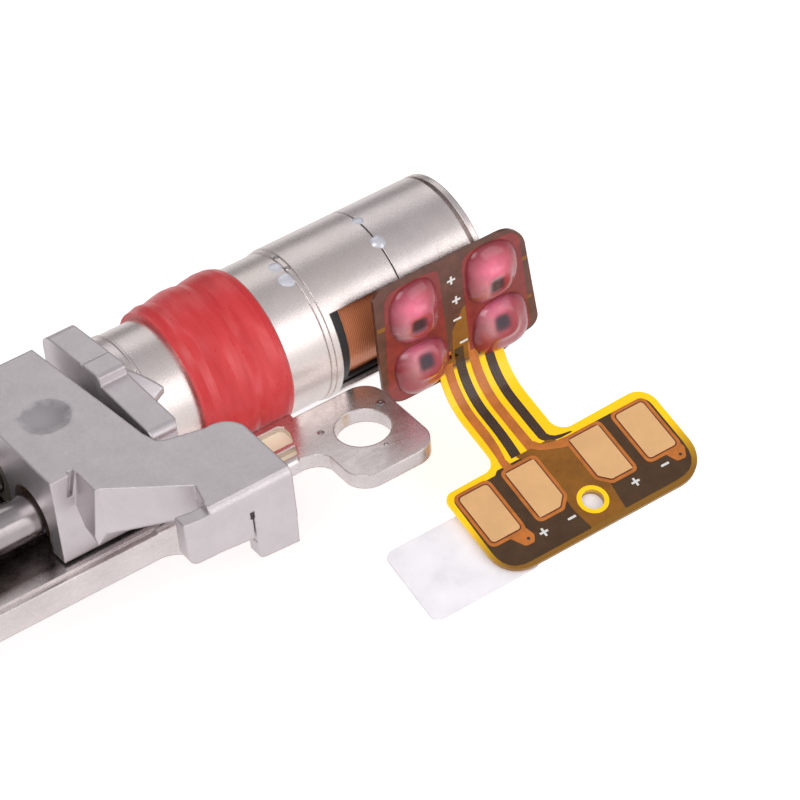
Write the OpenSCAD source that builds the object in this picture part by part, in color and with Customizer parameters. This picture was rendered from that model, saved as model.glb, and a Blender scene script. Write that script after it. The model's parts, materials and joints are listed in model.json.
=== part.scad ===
// Miniature screw-drive linear actuator: a two-phase can-stack stepper, a two-stage
// planetary gearbox with a damping sleeve, a lead screw, and a carriage with a hooked
// arm that slides on a guide rod over a pressed base. A flexible printed tail carries
// the four phase leads.
//
// Axes: +X runs along the motor axis from the screw to the motor's end cap, +Z is up,
// and the base, its ear and the printed tail lie on the -Y side. "Front" is the screw
// side (-X) of a part, "rear" its +X side, and "outer" faces -Y on the base and tail.
// The origin is the centre of the ear hole. Each module below draws its piece about the
// motor axis, with x = 0 at the screw side of the gearbox end plate, and placed() moves it.

/* [Motor] */
// Outer radius of the stator cups
motor_r = 2.5; // [2.4:0.05:2.6]
// Wall of the stator cups
cup_wall = 0.16; // [0.12:0.01:0.2]
// Screw-side face of the front stator cup
motor_front_x = 7.15; // [7.1:0.01:7.2]
// Seam between the two stator cups
motor_seam_x = 9.92; // [9.85:0.01:9.95]
// Back face of the rear stator cup
motor_rear_x = 12.55; // [12.5:0.01:12.6]
// Radius of the rotor magnet
magnet_r = 1.12; // [1.0:0.02:1.16]
// Radius of the rotor shaft
shaft_r = 0.35; // [0.3:0.01:0.38]

/* [Gearbox] */
// Gear module
gear_module = 0.11; // [0.1:0.001:0.112]
// Teeth of each sun gear
sun_teeth = 12; // [12]
// Teeth of each planet gear
planet_teeth = 9; // [9]
// Outer radius of the gearbox barrel
barrel_r = 2.25; // [2.2:0.01:2.27]
// Outer radius of the rear cover
rear_cover_r = 2.43; // [2.35:0.01:2.48]
// Face width of every gear
gear_w = 0.8; // [0.6:0.05:0.85]
// Outer radius of the sleeve at its rear bulge
sleeve_r = 2.63; // [2.5:0.01:2.7]

/* [Screw and rod] */
// Crest radius of the lead screw
screw_r = 0.6; // [0.55:0.01:0.62]
// Depth of the screw's grooves
groove_d = 0.12; // [0.08:0.01:0.15]
// Radius of the guide rod
rod_r = 0.68; // [0.6:0.01:0.7]
// Distance of the guide rod from the screw, towards -Y
rod_offset = 2.35; // [2.3:0.01:2.4]
// Radial running clearance of the nut and bushes
run_gap = 0.035; // [0.02:0.005:0.05]

/* [Base] */
// Thickness of the pressed sheet
sheet_t = 0.5; // [0.4:0.05:0.55]
// Height of the sheet's top face
floor_z = -0.9; // [-0.95:0.01:-0.85]
// Screw-side end of the base
base_x0 = -13.6; // [-13.8:0.1:-13.4]
// Radius of the two ear holes
ear_hole_r = 0.85; // [0.8:0.01:0.9]

/* [Carriage] */
// Height of the carriage's top face
top_z = 2.2; // [2.1:0.01:2.22]
// Underside of the carriage block
block_z0 = -0.8; // [-0.82:0.01:-0.75]
// Thickness of the arm
arm_t = 0.5; // [0.4:0.05:0.6]

/* [Printed tail] */
// Distance of the head's outer face from the motor axis, towards -Y
head_y = 3.1; // [3.05:0.01:3.15]
// Thickness of the film
film_t = 0.12; // [0.1:0.01:0.14]
// Downward tilt of the end tab, degrees
tail_tilt = 19.3; // [15:0.1:22]

/* [Hidden] */
$fn = 64;

// ---- helpers -----------------------------------------------------------------
// centre of the ear hole in drawing coordinates
ear = [6.63, -4.46, floor_z - sheet_t / 2];
module placed() { translate(-ear) children(); }
// turns a part drawn along +Z so that it runs along +X
module along_x(x = 0) { translate([x, 0, 0]) rotate([0, 90, 0]) children(); }
// turns a part drawn along +Z so that it runs towards -Y
module towards_tail(place) { translate(place) rotate([90, 0, 0]) children(); }
// moves a part from the motor axis to the guide rod's axis
module on_rod() { translate([0, -rod_offset, 0]) children(); }
// a ring along X between two stations
module tube_x(x0, x1, outer_r, inner_r = 0) {
  along_x(x0) difference() {
    cylinder(r = outer_r, h = x1 - x0);
    if (inner_r > 0) translate([0, 0, -1]) cylinder(r = inner_r, h = x1 - x0 + 2);
  }
}
// a revolved profile of [radius, x] points about the motor axis
module revolve_x(profile) { rotate([0, 90, 0]) rotate_extrude($fn = 72) polygon(profile); }
// a plan outline of [x, distance towards -Y] points, between two heights
module plan(z0, z1) { translate([0, 0, z0]) linear_extrude(z1 - z0) mirror([0, 1]) children(); }
// a side outline drawn in [y, z], run along X between two stations
module side_yz(x0, x1) {
  translate([x0, 0, 0]) rotate([90, 0, 90]) linear_extrude(x1 - x0) children();
}
// a side outline drawn in [x, z], run along Y between two stations
module side_xz(y0, y1) {
  translate([0, y1, 0]) rotate([90, 0, 0]) linear_extrude(y1 - y0) children();
}
// circles that round an outline's corners, from rows of [across, up, radius]
module discs(rows, facets = 64, inset = 0) {
  for (row = rows) translate([row[0], row[1]]) circle(r = row[2] - inset, $fn = facets);
}
// a rectangle with round corners
module round_rect(x0, y0, x1, y1, corner_r) {
  union() {
    translate([x0 + corner_r, y0]) square([x1 - x0 - 2 * corner_r, y1 - y0]);
    translate([x0, y0 + corner_r]) square([x1 - x0, y1 - y0 - 2 * corner_r]);
    for (x = [x0 + corner_r, x1 - corner_r], y = [y0 + corner_r, y1 - corner_r])
      translate([x, y]) circle(r = corner_r, $fn = 32);
  }
}

// ---- base and bearings of the screw ------------------------------------------
sheet_z0 = floor_z - sheet_t;
far_wall_t = 0.6;
far_bush_r = 0.72;
// depth of solid metal behind the rod and behind the far bush's bore
far_skin = 0.15;
far_ear_hole = [-15.0, -1.5];
// outer face of the flange, as a distance towards -Y, and the radius of its top edge
flange_y = 4.42;
flange_edge_r = 0.22;
// lower edge of the flange along the screw and beside the gearbox
flange_shallow_z = -1.92;
flange_deep_z = -2.76;
// outline of the window in the strip as [x, distance towards -Y], and how far its pad
// sits below the sheet's top
strip_window = [[3.1, 2.78], [4.7, 2.78], [4.85, 2.93], [4.85, 3.25], [4.5, 4.2], [3.1, 4.2]];
pad_drop = 0.2;

// plan outline of the floor, the strip and both ears
module base_outline() {
  ear_blend_r = 0.75;
  // floor under the screw and rod
  translate([base_x0, -1.9]) square([-0.06 - base_x0, 6.1]);
  // strip beside the gearbox, which carries the ear
  translate([-0.5, 2.66]) square([5.8, 1.7]);
  translate([2.9, 2.52]) square([2.4, 0.5]);
  // ear beside the motor
  round_rect(5.15, 2.74, 8.05, 6.42, 0.75);
  translate([4.6, 2.74]) square([1.6, 1.66]);
  // concave blend from the strip to the ear
  difference() {
    translate([4.45, 4.2]) square([0.75, 0.97]);
    discs([[4.45, 5.17, ear_blend_r]]);
  }
  // far ear
  round_rect(-16.2, 0.1, -12.6, 2.9, 0.7);
}
// flange hanging from the floor's -Y edge, which deepens in a smooth step
module flange() {
  step_x = -0.6;
  step_length = 2.0;
  step_count = 14;
  middle_z = (flange_shallow_z + flange_deep_z) / 2;
  half_step = (flange_shallow_z - flange_deep_z) / 2;
  side_xz(-flange_y, -flange_y + sheet_t) polygon(concat(
    [[base_x0, -1.0], [base_x0, flange_shallow_z]],
    [for (i = [0:step_count])
      [step_x + i * step_length / step_count, middle_z + half_step * cos(i * 180 / step_count)]],
    [[2.25, flange_deep_z], [2.25, -1.0]]));
}
// waste removed to round the flange's top edge, stopping short of the ear
module flange_edge_cut() {
  difference() {
    translate([base_x0 - 1, -4.5, -1.1]) cube([19, 0.3, 0.3]);
    translate([0, -flange_y + flange_edge_r, floor_z - flange_edge_r])
      along_x(base_x0 - 2) cylinder(r = flange_edge_r, h = 21);
    translate([4.7, -8, -2]) cube([6, 8, 3]);
  }
}
module base_frame() {
  placed() color("silver") difference() {
    union() {
      plan(sheet_z0, floor_z) base_outline();
      flange();
      // plain edge of the strip that continues the flange line
      plan(sheet_z0, floor_z) translate([-0.5, 3.9]) square([5.3, 0.52]);
      // far end wall
      translate([base_x0, -4.0, floor_z - 0.2]) cube([far_wall_t, 5.7, 3.0]);
    }
    // ear holes
    for (hole = [ear, far_ear_hole])
      translate([hole[0], hole[1], -3]) cylinder(r = ear_hole_r, h = 3);
    // window beside the barrel, crossed by a thin bar
    difference() {
      plan(-2, 0) polygon(strip_window);
      plan(floor_z - pad_drop, floor_z) translate([3, 3.66]) square([2, 0.16]);
    }
    // bores in the far wall
    along_x(base_x0 - 1) cylinder(r = far_bush_r, h = 3);
    on_rod() along_x(base_x0 + far_skin) cylinder(r = rod_r, h = 3);
    flange_edge_cut();
  }
}

// insulating pad pressed into the window
module strip_pad() {
  placed() color("wheat") plan(sheet_z0, floor_z - pad_drop) polygon(strip_window);
}

end_plate_t = 0.93;
// round shoulder of the end plate that enters the barrel
shoulder_r = 1.7;
shoulder_x = 0.9;
shoulder_h = 0.33;
front_bush_r = 0.85;
rod_end_x = 0.6;
// radii of the screw's plain ends at the far wall and in the end plate
far_journal_r = 0.4;
front_journal_r = 0.45;

// upright with a stepped top and round top corners, whose +Y part turns a little towards -X
module upright() {
  intersection() {
    side_yz(-0.5, 1.2) {
      polygon([[-4.0, floor_z], [1.1, floor_z], [1.75, 0.4], [1.75, 2.05], [1.3, 2.5],
        [-1.0, 2.5], [-1.14, 2.46], [-1.2, 2.2], [-3.7, 2.2], [-4.0, 1.9]]);
      discs([[1.3, 2.05, 0.45], [-3.7, 1.9, 0.3]], 48);
    }
    plan(-3, 3) polygon([[-0.24, -1.9], [0.69, -1.9], [end_plate_t, 1.0], [end_plate_t, 3.8],
      [0.83, 4.0], [0.05, 4.0], [0, 3.9], [0, 1.0]]);
  }
}
// stake tab that laps the barrel
module stake_tab() {
  tab_t = 0.14;
  intersection() {
    tube_x(0.9, 1.75, barrel_r + tab_t, barrel_r);
    plan(0, 3) polygon([[0.8, 0.95], [1.0, 0.95], [1.72, 1.75], [1.2, 1.9], [0.8, 1.75]]);
  }
}
module gearbox_end_plate() {
  placed() color("gray") difference() {
    union() {
      along_x(0) cylinder(r = 2.12, h = end_plate_t);
      upright();
      stake_tab();
      along_x(shoulder_x) cylinder(r = shoulder_r, h = shoulder_h);
    }
    // bush seat, rod seat
    along_x(-1) cylinder(r = front_bush_r, h = 4);
    on_rod() along_x(-0.5) cylinder(r = rod_r, h = rod_end_x + 0.5);
    // scribed line across the top edge
    translate([-0.4, -0.32, 2.46]) cube([1.6, 0.05, 0.1]);
  }
}

module front_bush() {
  placed() color("goldenrod")
    tube_x(0, shoulder_x + shoulder_h, front_bush_r, front_journal_r + run_gap);
}
module far_bush() {
  wall_x = base_x0 + far_wall_t;
  placed() color("goldenrod") difference() {
    union() {
      tube_x(base_x0, wall_x, far_bush_r);
      tube_x(wall_x, wall_x + 0.12, 0.95);
    }
    along_x(base_x0 + far_skin) cylinder(r = far_journal_r + run_gap, h = 2);
  }
}
module guide_rod() {
  placed() color("lightgray") on_rod() tube_x(base_x0 + far_skin, rod_end_x, rod_r);
}

// ---- carriage ------------------------------------------------------------------
nut_r = 1.15;
slide_bush_r = 0.95;
// radius of the bend between the arm's top and its outer wall
arm_bend_r = 0.3;
// plan of the gusset as [x, distance towards -Y]
gusset = [[-3.2, 3.8], [-3.1, 4.99], [-2.34, 4.99], [-0.19, 6.59], [0.1, 6.7], [0.3, 4.5],
  [-0.02, 4.25], [-0.13, 3.8]];

// half space under a plane through a point, facing the direction turned by tilt from +Z
// at the given heading
module half_space(point, tilt, heading) {
  translate(point) rotate([0, tilt, heading]) translate([-6, -6, -12]) cube([12, 12, 12]);
}
// gusset that widens the block into the arm, undercut on a slant below the arm's thickness
module arm_gusset() {
  difference() {
    intersection() {
      plan(-0.2, top_z) polygon(gusset);
      side_xz(-7, -3.5) polygon([[-2.46, 2.3], [-2.71, 0.6], [-2.62, 0.1], [-2.3, -0.2],
        [0.6, -0.2], [0.6, 2.3]]);
    }
    half_space([-2.9, -3.93, 0.86], 49.4, 223.1);
  }
  intersection() {
    plan(top_z - arm_t, top_z) polygon(gusset);
    side_xz(-7, -3.5) polygon([[-2.46, 2.3], [-2.71, 0.6], [0.6, 0.6], [0.6, 2.3]]);
  }
}
// arm that passes the end plate on its -Y side
module arm_top() {
  plan(top_z - arm_t, top_z) {
    polygon([[-0.6, 3.85], [-0.13, 3.85], [-0.02, 4.25], [0.14, 4.39], [1.33, 4.70],
      [2.27, 5.46], [2.28, 7.6], [-0.43, 7.6], [-0.19, 6.59], [-0.6, 6.2]]);
    discs([[1.5, 5.47, 0.78]]);
  }
}
// outer wall of the arm, which runs on past the arm towards -X
module arm_wall() {
  wall_top_z = top_z - arm_bend_r;
  side_xz(-7.75, -7.3) {
    polygon([[-0.45, 0.55], [1.05, 0.40], [2.28, 0.40], [2.28, wall_top_z],
      [-0.45, wall_top_z]]);
    polygon([[-1.3, 0.93], [-0.9, 0.55], [-0.4, 0.53], [-0.4, 2.04], [-0.8, 2.04],
      [-1.3, 2.12]]);
    discs([[-0.92, 0.93, 0.38]], 48);
    // hook tab
    polygon([[0.9, -0.3], [0.98, -0.40], [1.12, -0.44], [2.24, -0.52], [2.28, 1.0],
      [0.9, 1.0]]);
  }
}
module arm_bend() {
  intersection() {
    translate([0, -7.45, top_z - arm_bend_r])
      along_x(-0.43) cylinder(r = arm_bend_r, h = 2.71);
    translate([-1, -8, 1.5]) cube([4, 2, 1]);
  }
}
module carriage() {
  dish_r = 3.25;
  dish_depth = 0.1;
  placed() color("silver") difference() {
    union() {
      // block around the nut and the rod
      plan(block_z0, top_z) polygon([[-3.4, -1.6], [-0.66, -1.6], [-0.14, 3.8],
        [-0.14, 3.93], [-3.31, 3.93]]);
      arm_gusset();
      arm_top();
      arm_wall();
      arm_bend();
    }
    // nut bore and bush bore
    along_x(-4) cylinder(r = nut_r, h = 5);
    on_rod() along_x(-4) cylinder(r = slide_bush_r, h = 5);
    // shallow round dish in the top face
    translate([-1.93, -1.28, top_z - dish_depth + dish_r]) sphere(r = dish_r, $fn = 128);
    // relief notch and slit beside the hook tab
    translate([0.79, -8, 1.12]) cube([0.15, 0.5, 0.26]);
    translate([0.85, -8, 0.2]) cube([0.06, 1, 1.1]);
    // notch where the gusset meets the block
    translate([-2.86, -4.16, 1.45]) rotate([0, 14, 0]) cube([0.17, 0.4, 1.2]);
    // relief under the rod on the -X face
    translate([-3.6, -3.3, -1.0]) cube([0.42, 2.5, 0.62]);
  }
}
// ring in a carriage bore, cut flush with the block's underside
module flush_ring(x0, x1, outer_r, inner_r) {
  difference() {
    tube_x(x0, x1, outer_r, inner_r);
    translate([-4, -2, -3]) cube([5, 4, 3 + block_z0]);
  }
}
module drive_nut() {
  placed() color("darkolivegreen") flush_ring(-3.3, -0.75, nut_r, screw_r + run_gap);
}
module slide_bush() {
  placed() color("dimgray") on_rod() flush_ring(-3.1, -0.5, slide_bush_r, rod_r + run_gap);
}

// ---- screw and gear train --------------------------------------------------------
// radius of the bore in each planet carrier, and of the screw end and sun boss inside it
hub_r = 0.3;
carrier_t = 0.4;
// distance of a carrier's front face before the gears of its stage
carrier_lead = 0.5;
carrier_pin_r = 0.18;
carrier_pin_gap = 0.02;
// front faces of the gears in the output and input stages
output_gear_x = 1.85;
input_gear_x = 3.45;
// tooth height outside and inside the pitch circle
addendum = 0.8 * gear_module;
dedendum = 1.0 * gear_module;
// half widths of a tooth at tip and root, as shares of the pitch
tip_half = 0.115;
root_half = 0.30;
ring_teeth = sun_teeth + 2 * planet_teeth;
function pitch_r(count) = gear_module * count / 2;
planet_orbit_r = pitch_r(sun_teeth) + pitch_r(planet_teeth);

// outline of straight-flanked teeth; side is 1 for teeth that point out, -1 for in
function teeth(count, turn = 0, side = 1) =
  let (tip = pitch_r(count) + side * addendum, root = pitch_r(count) - side * dedendum)
  [for (i = [0:count - 1])
    for (corner = [[-root_half, root], [-tip_half, tip], [tip_half, tip], [root_half, root]])
      let (angle = turn + (i + corner[0]) * 360 / count)
        [corner[1] * cos(angle), corner[1] * sin(angle)]];
// a planet's turn about its own centre so that it meshes at a position angle
function planet_turn(position) =
  position + 180 + sun_teeth / planet_teeth * position - 180 / planet_teeth;

module lead_screw() {
  pitch = 0.4;
  thread_x0 = -12.7;
  groove_count = floor((-0.55 - thread_x0) / pitch);
  root_r = screw_r - groove_d;
  // one crest as [height above the root, distance along the pitch]
  crest = [[0, 0.03], [groove_d, 0.13], [groove_d, 0.27], [0, 0.37]];
  placed() color("lightsteelblue") revolve_x(concat(
    [[0, base_x0 + 0.2], [far_journal_r, base_x0 + 0.2], [far_journal_r, -12.85],
      [root_r, -12.75]],
    [for (i = [0:groove_count - 1]) for (point = crest)
      [root_r + point[0], thread_x0 + i * pitch + point[1]]],
    [[root_r, -0.5], [front_journal_r, -0.45], [front_journal_r, 1.3], [hub_r, 1.3],
      [hub_r, 1.72], [0, 1.72]]));
}
module planet(position, x) {
  along_x(x) rotate([0, 0, position]) translate([planet_orbit_r, 0, 0])
    rotate([0, 0, -position]) difference() {
      linear_extrude(gear_w) polygon(teeth(planet_teeth, planet_turn(position)));
      translate([0, 0, -1]) cylinder(r = carrier_pin_r + carrier_pin_gap, h = 3, $fn = 32);
    }
}
// disc with three planet pins, for the stage whose gears start at gear_x
module carrier(gear_x) {
  x = gear_x - carrier_lead;
  difference() {
    union() {
      along_x(x) cylinder(r = 1.42, h = carrier_t);
      for (position = [0, 120, 240])
        along_x(x) rotate([0, 0, position]) translate([planet_orbit_r, 0, 0])
          cylinder(r = carrier_pin_r, h = carrier_t + gear_w + 0.15, $fn = 32);
    }
    along_x(x - 1) cylinder(r = hub_r, h = 3);
  }
}
module sun(x, width) { along_x(x) linear_extrude(width) polygon(teeth(sun_teeth)); }

module output_carrier() { placed() color("dimgray") carrier(output_gear_x); }
module planet_out_a() { placed() color("gold") planet(0, output_gear_x); }
module planet_out_b() { placed() color("gold") planet(120, output_gear_x); }
module planet_out_c() { placed() color("gold") planet(240, output_gear_x); }
module stage_carrier() { placed() color("dimgray") carrier(input_gear_x); }
module stage_sun() {
  overlap = 0.01;
  placed() color("gold") union() {
    sun(output_gear_x, gear_w);
    // boss that enters the stage carrier
    along_x(output_gear_x + gear_w - overlap) cylinder(r = hub_r, h = 0.6, $fn = 32);
  }
}
module planet_in_a() { placed() color("gold") planet(0, input_gear_x); }
module planet_in_b() { placed() color("gold") planet(120, input_gear_x); }
module planet_in_c() { placed() color("gold") planet(240, input_gear_x); }
module input_sun() {
  placed() color("gold") difference() {
    sun(input_gear_x, gear_w + 0.1);
    along_x(input_gear_x - 1) cylinder(r = shaft_r, h = 5);
  }
}

// ---- rotor -----------------------------------------------------------------------
module rotor_shaft() {
  placed() color("silver") revolve_x([[0, input_gear_x], [shaft_r, input_gear_x],
    [shaft_r, 12.5], [shaft_r - 0.2, 12.64], [0, 12.64]]);
}
module rotor_magnet() { placed() color("dimgray") tube_x(7.95, 11.9, magnet_r, shaft_r); }

// ---- gearbox shell -----------------------------------------------------------------
rear_cover_x0 = 5.45;
rear_cover_x1 = 6.98;
// radius of the motor bearings' bodies and of the holes they sit in
bearing_r = 0.6;
bearing_flange_r = 0.85;

module gearbox_barrel() {
  placed() color("silver") difference() {
    union() {
      tube_x(end_plate_t, 5.7, barrel_r);
      // faint weld bead near the end plate
      tube_x(1.28, 1.36, barrel_r + 0.03);
    }
    // seat of the end plate's shoulder, then the ring gear
    along_x(0.5) cylinder(r = shoulder_r, h = 0.8);
    along_x(1.2) linear_extrude(5) polygon(teeth(ring_teeth, 180 / ring_teeth, -1));
  }
}
module gearbox_rear_cover() {
  placed() color("silver") difference() {
    tube_x(rear_cover_x0, rear_cover_x1, rear_cover_r);
    // barrel seat, recess and bearing hole
    along_x(5) cylinder(r = barrel_r, h = 0.7);
    along_x(5) cylinder(r = 1.3, h = 1.6);
    along_x(5) cylinder(r = bearing_r, h = 4);
  }
}
module damping_sleeve() {
  // [radius, x] along the outside from front to rear, then back along the bore
  placed() color("crimson") revolve_x([
    [barrel_r, 2.58], [barrel_r + 0.2, 2.56], [2.46, 2.66], [2.53, 2.9], [2.50, 3.2],
    [2.56, 3.45], [2.62, 3.8], [2.60, 4.15], [2.55, 4.35], [2.60, 4.55],
    [sleeve_r + 0.02, 4.95], [sleeve_r, 5.3], [2.55, 5.52], [2.45, 5.62],
    [rear_cover_r, 5.62], [rear_cover_r, rear_cover_x0], [barrel_r, rear_cover_x0]]);
}

// ---- motor -----------------------------------------------------------------------
cup_inner_r = motor_r - cup_wall;
cup_end_t = 0.2;
// pole claws: how far they start inside a cup's end face, and their length on a cup
// and on a claw plate
claw_inset = 0.1;
cup_claw_length = 2.1;
plate_claw_length = 2.0;
// bobbins: stations of both ends, thickness of the front flange
front_bobbin_x = [7.4, 9.6];
rear_bobbin_x = [10.24, 12.3];
front_bobbin_flange = 0.32;
rear_bobbin_flange = 0.16;
// thickness of the rear flange of either bobbin
end_flange = 0.16;
spool_r = 1.52;
bobbin_flange_r = cup_inner_r - 0.03;
coil_gap = 0.02;
// terminal pins: one pair at each x, one pin at each z
pin_x = [9.86, 12.64];
pin_z = [-0.9, 0.68];
pin_r = 0.13;

module motor_front_plate() {
  placed() color("silver") difference() {
    tube_x(rear_cover_x1, motor_front_x, 2.47);
    along_x(6) cylinder(r = bearing_r, h = 3);
  }
}
// bush from x0 to x1 with a flange from flange_x0 to flange_x1
module bearing(x0, x1, flange_x0, flange_x1) {
  difference() {
    union() {
      tube_x(x0, x1, bearing_r);
      tube_x(flange_x0, flange_x1, bearing_flange_r);
    }
    along_x(x0 - 1) cylinder(r = shaft_r + 0.02, h = 3);
  }
}
module front_bearing() { placed() color("goldenrod") bearing(6.6, 7.5, motor_front_x, 7.5); }
module rear_bearing() { placed() color("goldenrod") bearing(12.2, 12.7, 12.2, 12.45); }

// five pole claws that point along +X from x, alternating about the magnet
module claws(x, length, turn) {
  for (i = [0:4]) along_x(x) rotate([0, 0, turn + i * 72]) translate([1.22, 0, 0])
    linear_extrude(length) polygon([[0, -0.34], [0.14, -0.3], [0.14, 0.3], [0, 0.34]]);
}
// the same claws pointing along -X from x
module claws_back(x, length, turn) { mirror([1, 0, 0]) claws(-x, length, turn); }
// opening in the cup's wall that faces the tail, from 37 degrees above level to an angle
// below it
module cup_window(x0, x1, low) {
  along_x(x0) linear_extrude(x1 - x0)
    polygon([[0, 0], [-4 * cos(53), -4 * sin(53)], [0, -5], [4 * sin(low), -4 * cos(low)]]);
}
module stator_cup_front() {
  placed() color("lightgray") difference() {
    union() {
      difference() {
        tube_x(motor_front_x, motor_seam_x - 0.04, motor_r);
        along_x(motor_front_x + cup_end_t) cylinder(r = cup_inner_r, h = 4);
      }
      claws(motor_front_x + claw_inset, cup_claw_length, 0);
    }
    along_x(motor_front_x - 1) cylinder(r = bearing_flange_r, h = 2);
    cup_window(motor_front_x + 0.22, motor_seam_x - 0.22, 35);
  }
}
module stator_cup_rear() {
  placed() color("lightgray") difference() {
    union() {
      difference() {
        tube_x(motor_seam_x, motor_rear_x, motor_r);
        along_x(motor_seam_x - 0.5)
          cylinder(r = cup_inner_r, h = motor_rear_x - motor_seam_x + 0.5 - cup_end_t);
      }
      claws_back(motor_rear_x - claw_inset, cup_claw_length, 0);
    }
    along_x(motor_rear_x - 1) cylinder(r = bearing_flange_r, h = 2);
    cup_window(motor_seam_x + 0.18, motor_rear_x - 0.2, 27);
  }
}
// disc of a claw plate, cut away behind the terminals, with its claws as children
module claw_plate(x) {
  difference() {
    union() {
      tube_x(x, x + 0.16, cup_inner_r - 0.02, 1.2);
      children();
    }
    translate([x - 0.5, -3, -1.4]) cube([1, 1.0, 3.0]);
  }
}
module claw_plate_front() {
  placed() color("gray") claw_plate(9.62) claws_back(9.7, plate_claw_length, 36);
}
module claw_plate_rear() {
  placed() color("gray") claw_plate(10.04) claws(10.1, plate_claw_length, 36);
}

// hollow spool between two stations, with a terminal block on its rear flange that
// reaches out through the cup's window
module spool(span, front_flange) {
  length = span[1] - span[0];
  difference() {
    union() {
      tube_x(span[0], span[1], spool_r);
      tube_x(span[0], span[0] + front_flange, bobbin_flange_r);
      tube_x(span[1] - end_flange, span[1], bobbin_flange_r);
      translate([span[1] - end_flange, -2.98, -1.1]) cube([end_flange, 1.4, 1.95]);
    }
    along_x(span[0] - 1) cylinder(r = 1.4, h = length + 2);
  }
}
// spool with a post at its rear that carries two of the pins and is slotted inside
module bobbin(span, front_flange, post_length, slot_length, hole_x) {
  difference() {
    union() {
      spool(span, front_flange);
      translate([span[1] - end_flange, -2.98, -1.1]) cube([post_length, 0.75, 1.95]);
    }
    translate([span[1], -2.6, -2]) cube([slot_length, 1, 4]);
    for (z = pin_z) towards_tail([hole_x, 0, z]) cylinder(r = pin_r, h = 4, $fn = 32);
  }
}
module bobbin_front() {
  placed() color("black") union() {
    bobbin(front_bobbin_x, front_bobbin_flange, 0.7, 0.54, pin_x[0]);
    // rib over the coil along the lower edge of the cup's opening
    intersection() {
      tube_x(front_bobbin_x[0], front_bobbin_x[1], bobbin_flange_r, 2.2);
      along_x(7.3) linear_extrude(2.4)
        polygon([[0, 0], [4 * sin(28), -4 * cos(28)], [4 * sin(38), -4 * cos(38)]]);
    }
  }
}
module bobbin_rear() {
  placed() color("black") bobbin(rear_bobbin_x, rear_bobbin_flange, 0.75, 0.7, pin_x[1]);
}
// winding that fills a bobbin between its flanges
module coil(span, front_flange, outer_r) {
  tube_x(span[0] + front_flange + coil_gap, span[1] - end_flange - coil_gap,
    outer_r, spool_r + coil_gap);
}
module coil_front() {
  placed() color("chocolate") coil(front_bobbin_x, front_bobbin_flange, 2.18);
}
module coil_rear() {
  placed() color("chocolate") coil(rear_bobbin_x, rear_bobbin_flange, 2.24);
}
module motor_end_cap() {
  placed() color("silver") difference() {
    union() {
      tube_x(12.68, 12.88, motor_r);
      tube_x(motor_rear_x, 12.7, 2.2);
    }
    along_x(12.2) cylinder(r = bearing_r, h = 0.5);
  }
}
module thrust_washers() {
  placed() color("ivory") for (x = [7.55, 12.0]) tube_x(x, x + 0.1, 0.7, shaft_r + 0.03);
}
module terminal_pin(x, z) {
  towards_tail([x, -2.3, z]) cylinder(r = pin_r, h = 1.05, $fn = 32);
}
module terminal_pins() {
  placed() color("gold") for (x = pin_x, z = pin_z) terminal_pin(x, z);
}

// ---- printed tail ------------------------------------------------------------------
// curve of the neck from the head's foot to the tab: radius and height of its centre
neck_r = 1.71;
neck_z = -1.36;
neck_steps = 10;
// the neck is this much thinner than the film on each face
skin = 0.008;
// length by which the neck runs into the head and the tab
neck_lap = 0.3;
stiffener_t = 0.12;
liner_t = 0.08;
// origin of the tab's own frame, down the slope from the end of the neck's curve
tab_drop = 1.64;
tab_y = head_y + neck_r * (1 - sin(tail_tilt)) + tab_drop * cos(tail_tilt);
tab_z = neck_z - neck_r * cos(tail_tilt) - tab_drop * sin(tail_tilt);

// tab's frame: x along X, y down the slope, z out of its upper face
module on_tab() {
  translate([0, -tab_y, tab_z]) rotate([180 + tail_tilt, 0, 0]) mirror([0, 0, 1]) children();
}
// outline of the tab, with a different radius at each corner
module tab_plan(inset = 0) {
  polygon([[8.25 + inset, 0.44], [8.55, 0.14 + inset], [15.35, inset], [16 - inset, 0.65],
    [16 - inset, 2.3], [14.8, 3.5 - inset], [9.25, 3.5 - inset], [8.25 + inset, 2.5]]);
  discs([[8.55, 0.44, 0.3], [15.35, 0.65, 0.65], [14.8, 2.3, 1.2], [9.25, 2.5, 1.0]],
    inset = inset);
}
module tab_hole() { on_tab() translate([12.12, 2.54, -1]) cylinder(r = 0.35, h = 2); }

// [distance towards -Y, z] of a step along the neck's curve, at a depth in the film
function neck_point(step, depth) =
  let (angle = step * (90 - tail_tilt) / neck_steps)
  [head_y + neck_r - (neck_r + depth) * cos(angle), neck_z - (neck_r + depth) * sin(angle)];
// the neck's end inside the tab, at a depth in the film
function neck_end(depth) =
  [tab_y + neck_lap * cos(tail_tilt) - depth * sin(tail_tilt),
    tab_z - neck_lap * sin(tail_tilt) - depth * cos(tail_tilt)];

module tail_head() {
  side_xz(-head_y, -head_y + film_t) {
    polygon([[8.25, 2.07], [8.6, 2.42], [12.8, 2.43], [13.78, 1.45], [14.05, -1.3],
      [13.65, -1.72], [12.65, -2.05], [12.65, -1.7], [10.3, -1.7], [10.3, -2.02],
      [9.1, -2.02], [8.28, -1.2], [8.25, 0]]);
    discs([[8.6, 2.07, 0.35], [12.8, 1.45, 0.98], [9.1, -1.2, 0.82], [13.65, -1.32, 0.4]]);
  }
}
module tail_neck() {
  inner = film_t - skin;
  mirror([0, 1, 0]) side_yz(10.3, 12.65) polygon(concat(
    [[head_y - skin, neck_z + neck_lap]],
    [for (i = [0:neck_steps]) neck_point(i, skin)],
    [neck_end(skin), neck_end(inner)],
    [for (i = [0:neck_steps]) neck_point(neck_steps - i, inner)],
    [[head_y - inner, neck_z + neck_lap]]));
}
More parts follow.
